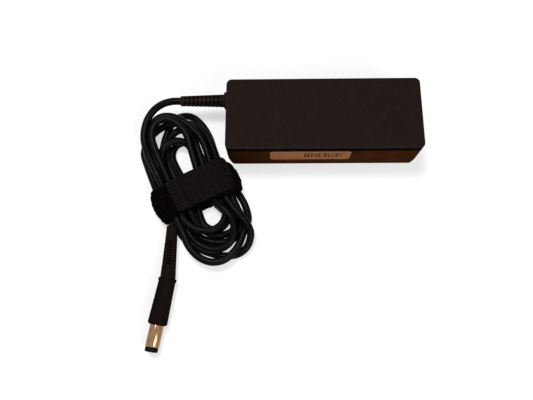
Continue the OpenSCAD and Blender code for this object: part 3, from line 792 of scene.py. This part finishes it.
def band_skew(s, z):
    """How far the band has slipped across the hank's strands at a place along it and at a height."""
    on_top = eased(s, 2, 20, 1.4, -1.45)
    below = eased(s, -20, -5, 1.3, -0.1)
    return eased(z, 1, 9, below, on_top)


def band_bulge(s, n):
    """Shift along the strap of the band's turns: the middle of its width stands out most."""
    if s < 0:
        middle, towards_edge, width = -1.6, 2.7, 10
    else:
        middle, towards_edge, width = 3, -1.9, 9
    return middle + towards_edge * (n / width) ** 2


def make_band(material):
    """The loop band round the hank: one strip of matted pile that bulges where it turns down."""
    step = 0.4
    seed = 3
    pile_lift = 0.6
    pile_fray = 0.8
    bulge_from, bulge_to = 8, 22
    outline = band_outline(step)
    count = len(outline)
    section = band_section()
    pile = np.random.default_rng(seed).normal(0, 1, (count, len(section), 2))
    for _ in range(2):
        pile = (np.roll(pile, 1, 0) + pile + np.roll(pile, -1, 0)) / 3
        pile = (np.roll(pile, 1, 1) + pile + np.roll(pile, -1, 1)) / 3
    rings = []
    for i, (s, z, _) in enumerate(outline):
        before, after = outline[i - 1], outline[(i + 1) % count]
        outward = np.array([after[1] - before[1], before[0] - after[0]])
        outward /= np.linalg.norm(outward)
        bulge_share = eased(abs(s), bulge_from, bulge_to)
        ring = []
        for k, (n, t) in enumerate(section):
            rough_z, rough_n = pile[i, k]
            edge = eased(abs(n), STRAP_W / 2 - 1, STRAP_W / 2)
            lift = t + (pile_lift * rough_z if t > 0 else 0)
            side = n + pile_fray * rough_n * edge + band_skew(s, z)
            out = s + outward[0] * lift + bulge_share * band_bulge(s, n)
            ring.append(on_strap(out, side, max(z + outward[1] * lift, 0)))
        rings.append(ring)
    vertices, faces = rings_to_tube(rings, closed_loop=True)
    band = piece("strap_band", vertices, faces, material, 60)
    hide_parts("strap_loop_band")
    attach(band, "root")
    return band


def band_section():
    """Section of the band: across its width and through its thickness, with soft edges."""
    half, t = STRAP_W / 2, BAND_T / 2
    soft = 0.3
    columns = 45
    top = [(n, t) for n in np.linspace(-half + soft, half - soft, columns)]
    side = [(half - 0.05, t - 0.2), (half, 0), (half - 0.05, -t + 0.2)]
    under = [(-n, -t) for n, _ in top]
    return top + side + under + [(-n, -h) for n, h in side]


def corner_cut(n, corner):
    """How much a round corner takes off the cloth's end at a place across it."""
    over = max(abs(n) - (STRAP_W / 2 - corner), 0)
    return corner - math.sqrt(max(corner ** 2 - over ** 2, 0))


def cloth_ends(n):
    """Where the cloth starts and stops along the strap at a place across it. Its free end slants."""
    slant = 0.06
    free_corner = FAR_CORNER if n > 0 else NEAR_CORNER
    return STITCHED_FROM + corner_cut(n, SEWN_CORNER), FLAP_TO + slant * n - corner_cut(n, free_corner)


def make_flap(material):
    """The woven cloth: sewn down at one end, free past the fold line, round at its free end."""
    rows, columns = 46, 110
    thin_rim = 0.45
    wave, wave_length = 0.12, 5.1
    fan_out = 0.04
    half_t = CLOTH_T / 2
    grid = []
    for side in (1, -1):
        for j in range(rows + 1):
            n = -STRAP_W / 2 + STRAP_W * j / rows
            edge = abs(n) / (STRAP_W / 2)
            start, end = cloth_ends(n)
            line = []
            for i in range(columns + 1):
                s = start + (end - start) * i / columns
                rim = min(s - start, end - s, STRAP_W / 2 - abs(n))
                thick = half_t * eased(rim, 0, thin_rim, 0.45, 1)
                pressed = SEWN_DIP * (1 - eased(s, STITCHED_TO, STITCHED_TO + DIP_OVER))
                mid = CLOTH_Z - pressed + wave * math.sin(s / wave_length) * edge
                wider = fan_out * min(n / (STRAP_W / 2), 0) * (s - STITCHED_FROM)
                line.append(on_strap(s, n + CLOTH_N + wider, mid + side * thick))
            grid.append(line)
    vertices = [p for line in grid for p in line]
    wide = columns + 1
    faces = []
    for sheet in (0, 1):
        for j in range(rows):
            for i in range(columns):
                a = (sheet * (rows + 1) + j) * wide + i
                faces.append((a, a + 1, a + wide + 1, a + wide))
    border = list(range(wide))
    border += [j * wide + columns for j in range(1, rows + 1)]
    border += [rows * wide + i for i in range(columns - 1, -1, -1)]
    border += [j * wide for j in range(rows - 1, 0, -1)]
    under = (rows + 1) * wide
    for k, a in enumerate(border):
        b = border[(k + 1) % len(border)]
        faces.append((a, b, b + under, a + under))
    flap = piece("strap_cloth", vertices, faces, material, 50)
    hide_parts("strap_flap", "strap_stitched_end")
    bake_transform(flap)
    return flap


def make_stitching(material):
    """Rows of short stitches, each a rounded bar sunk into the cloth."""
    dive = 0.16
    flatness = 0.7
    vertices, faces = [], []
    for row in range(STITCH_ROWS):
        for k in range(STITCHES):
            s = STITCHED_FROM + FIRST_ROW + ROW_STEP * row
            n = -STRAP_W / 2 + ROW_MARGIN + (STRAP_W - 2 * ROW_MARGIN) * k / (STITCHES - 1)
            start = len(vertices)
            rings = []
            for share, width in STITCH_PROFILE:
                along = n + STITCH_LENGTH * (share - 0.5)
                height = STITCH_Z - dive * (2 * share - 1) ** 2
                ring = []
                for a in np.linspace(0, 2 * math.pi, 8, endpoint=False):
                    z = height + flatness * width * math.sin(a)
                    ring.append(on_strap(s + width * math.cos(a), along + CLOTH_N, z))
                rings.append(ring)
            part, skin = rings_to_tube(rings)
            vertices += part
            faces += [tuple(start + i for i in f) for f in skin]
    stitches = piece("strap_stitches", vertices, faces, material, 80)
    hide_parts("strap_stitching")
    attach(stitches, "root")


def make_hook_patch(material):
    """The hook tape under the cloth, as far across as the cloth lies."""
    patch = rounded_copy("hook_patch", "strap_hook_patch", material, 0.12)
    aside = Vector(on_strap(0, CLOTH_N, 0)) * MM - Vector(on_strap(0, 0, 0)) * MM
    patch.data.transform(Matrix.Translation(aside))
    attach(patch, "strap_flap")


# ---------------------------------------- label

# Radius of the label's corners, and the block of bars on it: its ends along X and its lower and upper edge
LABEL_CORNER = 2
BARS_X = (-11, 9.7)
BARS_Z = (14.8, 21)


def make_label(material):
    """The label on the front side: a thin sheet with round corners, in its shallow recess."""
    low, high = [[c / MM for c in corner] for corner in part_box("side_label")]
    outline = rounded_outline((low[0], low[2]), (high[0], high[2]), LABEL_CORNER, 6)
    vertices, faces = rings_to_tube([[(x, y, z) for x, z in outline] for y in (low[1], high[1])])
    sheet = piece("front_label", vertices, faces, material)
    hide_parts("side_label")
    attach(sheet, "root")


# ---------------------------------------- finishes


def cord_finish():
    """Soft black jacket of the cord, slightly wavy."""
    made = Surface("cord_jacket", 0.36, 0.042, Specular_Tint=(1, 0.93, 0.88, 1))
    made.colour(made.mixed(made.patches(6, 3), (5, 4, 3), (8, 6, 6)))
    made.roughness(made.patches(2.5, 3, 0.3, 0.4))
    made.relief(made.noise(0.7, 3), 0.02)
    made.relief(made.noise(6, 2), 0.12)
    return made.material


def weave_finish():
    """Fine warp-knit cloth: rows of tiny loops, in dark grey, and darker where it is sewn."""
    made = Surface("strap_weave", 0.9, 0.02, Sheen_Weight=0.03, Sheen_Roughness=0.4)
    loop_size = (1, 1.1, 1)
    loops = made.cells(made.stretched(loop_size, math.radians(-STRAP_TURN)), randomness=0.25)
    made.colour(made.mixed(made.spread(loops, 0.1, 0.6), (29, 24, 21), (8, 6, 6)))
    made.toned(made.spread(made.noise(7, 3), 0.45, 0.8, 0, 0.12), (27, 23, 21))
    from_middle = made.vectors("SUBTRACT", made.place, Vector((*STRAP_AT, 0)) * MM)
    along = made.vectors("DOT_PRODUCT", from_middle, STRAP_WAY, result="Value")
    made.toned(made.spread(along, (STITCHED_TO + 0.5) * MM, (STITCHED_TO - 1) * MM, 0, 0.6), (7, 5, 5))
    made.relief(made.spread(loops, 0, 0.7, 1, 0), 0.14)
    made.relief(made.noise(0.25, 2), 0.06)
    return made.material


def loop_finish():
    """Loop pile: matted dark fibres."""
    made = Surface("strap_loop", 0.95, 0, Sheen_Weight=0.01, Sheen_Roughness=0.5)
    clumps = made.noise(1.1, 6)
    made.colour(made.mixed(made.spread(clumps, 0.35, 0.7), (2, 1, 1), (13, 9, 8)))
    made.relief(clumps, 0.5)
    made.relief(made.noise(0.3, 3), 0.2)
    return made.material


def label_finish():
    """Blank label with a plain block of upright bars."""
    bar_width, upright = 0.85, (1, 1000, 1000)
    made = Surface("label_paper", 0.6, 0.01)
    place = made.axes()
    bars = made.maths("GREATER_THAN", made.noise(bar_width, 2, upright), 0.5)
    for axis, (low, high) in ((place["X"], BARS_X), (place["Z"], BARS_Z)):
        bars = made.maths("MULTIPLY", bars, made.maths("GREATER_THAN", axis, low * MM))
        bars = made.maths("MULTIPLY", bars, made.maths("LESS_THAN", axis, high * MM))
    # The paper's tan is painted warm bounce light from a wooden table; the paper itself is white
    made.colour(made.mixed(made.patches(4, 3), (146, 100, 68), (161, 113, 78)))
    made.toned(bars, (64, 41, 28))
    made.relief(made.noise(0.8, 3), 0.02)
    return made.material


# ---------------------------------------- inner pieces

# Slot of the record: colour, roughness, metallic, size of the grain
INNER_FINISH = {
    "board": ((40, 92, 52), 0.45, 0, 0.6),
    "spreader_metal": ((184, 184, 180), 0.4, 1, 1.2),
    "film": ((216, 212, 168), 0.35, 0, 2),
    "fuse_body": ((90, 45, 30), 0.4, 0, 0.8),
    "varistor_body": ((47, 95, 168), 0.4, 0, 0.6),
    "thermistor_body": ((59, 90, 44), 0.5, 0, 0.6),
    "film_capacitor_body": ((201, 162, 39), 0.4, 0, 0.8),
    "ferrite": ((62, 62, 66), 0.55, 0, 0.4),
    "copper_wire": ((181, 101, 44), 0.35, 1, 0.5),
    "chip_body": ((34, 34, 34), 0.6, 0, 0.3),
    "capacitor_sleeve": ((34, 40, 84), 0.35, 0, 1.5),
    "heatsink_metal": ((196, 198, 200), 0.4, 1, 0.8),
    "screw_steel": ((154, 154, 152), 0.3, 1, 0.5),
    "bobbin_plastic": ((32, 48, 42), 0.5, 0, 0.6),
    "winding_tape": ((224, 192, 64), 0.35, 0, 1),
    "disc_capacitor": ((58, 112, 176), 0.4, 0, 0.6),
    "wire_insulation": ((150, 40, 36), 0.45, 0, 0.6),
    "core_plastic": ((230, 226, 214), 0.5, 0, 0.6),
}


def dress_node(node, material):
    """Gives a CAD node that stays as it is its material."""
    mesh = frame["nodes"][node].data
    mesh.materials.clear()
    mesh.materials.append(material)


def inner_finish(slot):
    """Metal or moulded plastic, as the table says."""
    colour, rough, metallic, grain = INNER_FINISH[slot]
    if metallic:
        return metal(slot, colour, rough)
    return moulded(slot, colour, rough, 0.3, grain, 0.04).material


# ---------------------------------------- stage

# Half the floor's side, and its height just below the adapter
FLOOR_HALF = 4000
FLOOR_Z = -0.02
# The floor's colour where it lights the object, and where it is seen
FLOOR_LIT = (172, 150, 130)
FLOOR_SEEN = (243, 243, 243)
# Share of plain white in the floor's look near the adapter, and between which distances it rises to 1
WHITE_NEAR = 0.62
WHITE_FROM = 160
WHITE_TO = 600
SKY_STRENGTH = 0.17
# Name, place, width and power of each lamp, and the point that they shine at
LAMPS = [
    ("key", (-120, 120, 620), 170, 3.5),
    ("fill", (260, -420, 420), 300, 2.4),
]
LAMPS_AIM = (-40, -30, 5)


def seen_by_eye(tree):
    """1 for rays that show the background: the camera's own, and those off gloss or through glass."""
    rays = tree.nodes.new("ShaderNodeLightPath")
    seen = rays.outputs["Is Camera Ray"]
    for kind in ("Is Glossy Ray", "Is Transmission Ray"):
        either = tree.nodes.new("ShaderNodeMath")
        either.operation = "MAXIMUM"
        tree.links.new(seen, either.inputs[0])
        tree.links.new(rays.outputs[kind], either.inputs[1])
        seen = either.outputs["Value"]
    return seen


def make_floor():
    """Pale floor that looks white to the camera and keeps the adapter's shadow."""
    made = Surface("floor", 0.9, 0)
    seen = seen_by_eye(made.tree)
    made.colour(made.mixed(seen, FLOOR_LIT, FLOOR_SEEN))
    away = made.vectors("LENGTH", made.place, result="Value")
    white = made.spread(away, WHITE_FROM * MM, WHITE_TO * MM, WHITE_NEAR, 1)
    glow = made.node("ShaderNodeEmission")
    mixer = made.node("ShaderNodeMixShader")
    made.link(made.maths("MULTIPLY", seen, white), mixer.inputs["Fac"])
    made.link(made.shader.outputs["BSDF"], mixer.inputs[1])
    made.link(glow.outputs["Emission"], mixer.inputs[2])
    made.link(mixer.outputs["Shader"], made.tree.nodes["Material Output"].inputs["Surface"])
    corners = [(FLOOR_HALF * x, FLOOR_HALF * y, FLOOR_Z) for x, y in ((-1, -1), (1, -1), (1, 1), (-1, 1))]
    piece("floor", corners, [(0, 1, 2, 3)], made.material)


def make_world():
    """Dim sky for the object, plain white to the eye."""
    world = bpy.data.worlds.new("world")
    world.use_nodes = True
    nodes, links = world.node_tree.nodes, world.node_tree.links
    sky = nodes["Background"]
    sky.inputs["Color"].default_value = (1, 0.99, 0.97, 1)
    sky.inputs["Strength"].default_value = SKY_STRENGTH
    white = nodes.new("ShaderNodeBackground")
    white.inputs["Color"].default_value = (1, 1, 1, 1)
    mixer = nodes.new("ShaderNodeMixShader")
    links.new(seen_by_eye(world.node_tree), mixer.inputs["Fac"])
    links.new(sky.outputs["Background"], mixer.inputs[1])
    links.new(white.outputs["Background"], mixer.inputs[2])
    links.new(mixer.outputs["Shader"], nodes["World Output"].inputs["Surface"])
    bpy.context.scene.world = world


def make_lamps():
    """Two large soft lamps."""
    for name, at, width, power in LAMPS:
        data = bpy.data.lights.new(name, "AREA")
        data.size = width * MM
        data.energy = power
        lamp = bpy.data.objects.new(name, data)
        aim = Vector(LAMPS_AIM) - Vector(at)
        turn = aim.to_track_quat("-Z", "Y").to_matrix().to_4x4()
        lamp.matrix_world = Matrix.Translation(Vector(at) * MM) @ turn
        bpy.context.scene.collection.objects.link(lamp)


# ---------------------------------------- the adapter

make_camera()
jacket = cord_finish()
cord, cord_line = make_cord(jacket)

# Material of each slot whose pieces get rounded edges. After the colour, a moulded one has its
# roughness, its specular level, and the size and depth of its grain.
finishes = {
    "lid_plastic": lid_finish(),
    "case_plastic": case_finish(),
    "inlet_plastic": moulded("inlet_plastic", (20, 17, 16), 0.5, 0.04, 0.5, 0.03).material,
    "contact_metal": metal("contact_metal", (200, 198, 190), 0.25),
    "grip_rubber": moulded("grip_rubber", (20, 14, 12), 0.8, 0.005, 0.35, 0.04).material,
    # The barrel's brown is painted reflection of a wooden table; the bare metal is nickel grey
    "barrel_metal": metal("barrel_metal", (150, 114, 86), 0.16, (1, 12, 1)),
    "insulator_plastic": moulded("insulator_plastic", (10, 9, 9), 0.4, 0.03, 0.5, 0.01).material,
    "sleeve_metal": metal("sleeve_metal", (196, 192, 182), 0.3),
    "pin_metal": metal("pin_metal", (216, 188, 112), 0.25),
}
relief_rubber = boot_rubber("relief_rubber", (34, 25, 20), RELIEF_AT, CASE_WAY, 2.9, 0.03)
plug_rubber = boot_rubber("plug_rubber", (22, 16, 13), BOOT_AT, BOOT_WAY, 3.05, 0.034)
thread = moulded("strap_thread", (53, 48, 45), 0.8, 0.02, 0.15, 0.05).material
hooks = moulded("hook_tape", (18, 16, 15), 0.6, 0.03, 0.6, 0.3).material
panel = moulded("panel_paper", (58, 54, 52), 0.5, 0.1, 0.8, 0.02).material

# Node, piece, slot and radius of its edges
ROUNDED = [
    ("top_cover", "case_lid", "lid_plastic", 0.25),
    ("bottom_case", "case_shell", "case_plastic", 0.35),
    ("inlet_housing", "mains_inlet", "inlet_plastic", 0.15),
    ("inlet_pins", "mains_pins", "contact_metal", 0.3),
    ("plug_grip", "plug_handle", "grip_rubber", 0.25),
    ("plug_barrel", "plug_sleeve", "barrel_metal", 0.1),
    ("plug_insulator", "plug_ring", "insulator_plastic", 0.12),
    ("plug_inner_sleeve", "plug_inner_tube", "sleeve_metal", 0.05),
    ("plug_centre_pin", "plug_pin", "pin_metal", 0.1),
]
made = {}
for node, name, slot, edge in ROUNDED:
    made[node] = rounded_copy(name, node, finishes[slot], edge)
    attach(made[node], "root")

made["strain_relief"] = make_boot(
    "relief_boot", "strain_relief", RELIEF_AT, CASE_WAY,
    RELIEF_PROFILE, RELIEF_SLOTS, RELIEF_ROWS, relief_rubber,
)
made["plug_boot"] = make_boot(
    "plug_cord_boot", "plug_boot", BOOT_AT, BOOT_WAY,
    PLUG_BOOT_PROFILE, PLUG_BOOT_SLOTS, PLUG_BOOT_ROWS, plug_rubber,
)

# The barrel ends sooner than in the CAD model, and the black ring at its tip is longer
slid(made["plug_barrel"], GRIP_AT, PLUG_WAY, *BARREL_RIM, -RING_BACK)
slid(made["plug_insulator"], GRIP_AT, PLUG_WAY, *RING_REAR, -RING_BACK)

band = make_band(loop_finish())
flap = make_flap(weave_finish())
make_stitching(thread)
make_hook_patch(hooks)
make_label(label_finish())
dress_node("base_label", panel)
dress_node("cord_in_relief", jacket)
dress_node("cord_in_plug", jacket)

inner_finishes = {slot: inner_finish(slot) for slot in INNER_FINISH}
for row in frame["record"]["subparts"]:
    if row["material_slot"] in inner_finishes:
        dress_node(row["node"], inner_finishes[row["material_slot"]])

make_floor()
make_world()
make_lamps()
bpy.context.scene.view_settings.view_transform = "Standard"
